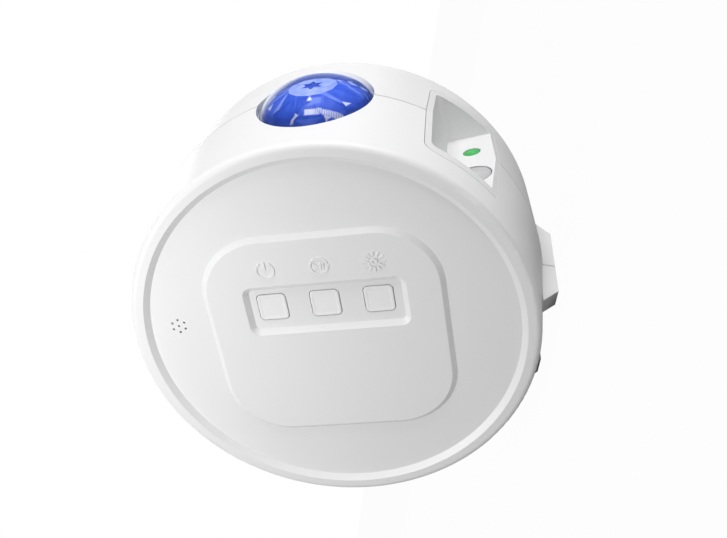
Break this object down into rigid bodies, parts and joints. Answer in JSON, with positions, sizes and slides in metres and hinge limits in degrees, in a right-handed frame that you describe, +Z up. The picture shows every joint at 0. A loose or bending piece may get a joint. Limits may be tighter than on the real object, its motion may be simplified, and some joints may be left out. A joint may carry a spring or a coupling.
{
  "type": "galaxy projector",
  "caption": "White drum-shaped galaxy projector on two moulded feet, with a faceted blue nebula dome, a notched laser bay and a control face with a key row.",
  "frame": {"origin": "centre of the bounding box on the plane that the two feet rest on, under the drum; the drum axis is level, 79.2 mm above it and 1.9 mm towards -X", "axes": "+Z up, -Y out of the control face along the level drum axis, +X the side that the nebula dome and the laser bay throw their light to, 15.5 degrees above level"},
  "size_m": [0.1568, 0.082, 0.1557],
  "materials": {
    "white_shell": "satin white ABS, fine even grain",
    "white_insert": "satin white ABS",
    "white_button": "satin white ABS",
    "grey_rubber": "matt light grey rubber",
    "blue_clear": "clear blue polycarbonate, cut facets, glossy",
    "clear_plastic": "clear acrylic",
    "green_lens": "green tinted lens",
    "grey_lens": "smoky grey lens",
    "black_plastic": "black moulded plastic",
    "white_gear": "natural acetal",
    "white_board": "white solder mask on aluminium",
    "green_board": "green solder mask on glass fibre",
    "lamp_yellow": "phosphor coated lamps",
    "steel": "zinc plated steel",
    "aluminium": "plain extruded aluminium",
    "brass": "turned brass",
    "dark_ferrite": "ferrite in a black cup",
    "black_cone": "coated paper cone",
    "black_rubber": "soft black rubber",
    "lead_cover": "red and black lead in one sleeve",
    "ribbon_film": "amber film"
  },
  "bodies": {
    "casing": {"front_shell": "white_shell", "rear_shell": "white_shell", "shell_screws": "steel", "foot_pads": "grey_rubber", "nebula_dome": "blue_clear", "nebula_housing": "black_plastic", "housing_screws": "steel", "disc_axle": "steel", "axle_clip": "steel", "drive_motor": "steel", "motor_screws": "steel", "collimator_lens": "clear_plastic", "led_board": "white_board", "led_emitters": "lamp_yellow", "heat_sink": "aluminium", "led_screws": "steel", "laser_bay": "white_insert", "bay_screws": "steel", "laser_window": "green_lens", "moon_window": "grey_lens", "laser_bracket": "aluminium", "bracket_screws": "steel", "laser_module": "brass", "grating_motor": "steel", "moon_barrel": "black_plastic", "moon_slide": "clear_plastic", "moon_led_board": "green_board", "key_board": "green_board", "tact_switches": "black_plastic", "microphone": "aluminium", "mic_boot": "black_rubber", "main_board": "green_board", "board_screws": "steel", "control_chip": "black_plastic", "capacitors": "black_plastic", "plug_headers": "white_gear", "speaker_frame": "steel", "speaker_magnet": "dark_ferrite", "speaker_cone": "black_cone", "speaker_gasket": "black_rubber", "speaker_screws": "steel", "usb_socket": "steel", "power_board": "green_board", "motor_lead": "lead_cover", "speaker_lead": "lead_cover", "lamp_lead": "lead_cover", "laser_lead": "lead_cover", "power_lead": "lead_cover", "key_ribbon": "ribbon_film"},
    "ripple": {"ripple_disc": "clear_plastic"},
    "pinion": {"motor_pinion": "white_gear", "motor_shaft": "steel"},
    "grating": {"grating_wheel": "clear_plastic", "grating_shaft": "steel"},
    "power_key": {"power_button": "white_button", "power_plunger": "black_plastic"},
    "mode_key": {"mode_button": "white_button", "mode_plunger": "black_plastic"},
    "light_key": {"light_button": "white_button", "light_plunger": "black_plastic"}
  },
  "joints": [
    {"name": "ripple_spin", "type": "hinge", "parent": "casing", "child": "ripple", "pos_m": [0.05175, 0, 0.09304], "axis": [0.9636, 0, 0.2672], "continuous": true},
    {"name": "pinion_spin", "type": "hinge", "parent": "casing", "child": "pinion", "pos_m": [0.04494, 0, 0.11761], "axis": [0.9636, 0, 0.2672], "continuous": true},
    {"name": "grating_spin", "type": "hinge", "parent": "casing", "child": "grating", "pos_m": [0.04638, 0.01, 0.04448], "axis": [0.9304, 0, 0.3665], "continuous": true},
    {"name": "power_press", "type": "slide", "parent": "casing", "child": "power_key", "axis": [0, 1, 0], "range_m": [0, 0.0006], "stiffness_N_per_m": 1200, "springref_m": -0.0008},
    {"name": "mode_press", "type": "slide", "parent": "casing", "child": "mode_key", "axis": [0, 1, 0], "range_m": [0, 0.0006], "stiffness_N_per_m": 1200, "springref_m": -0.0008},
    {"name": "light_press", "type": "slide", "parent": "casing", "child": "light_key", "axis": [0, 1, 0], "range_m": [0, 0.0006], "stiffness_N_per_m": 1200, "springref_m": -0.0008}
  ],
  "couplings": [
    {"joint": "pinion_spin", "follows": "ripple_spin", "ratio": -4}
  ]
}
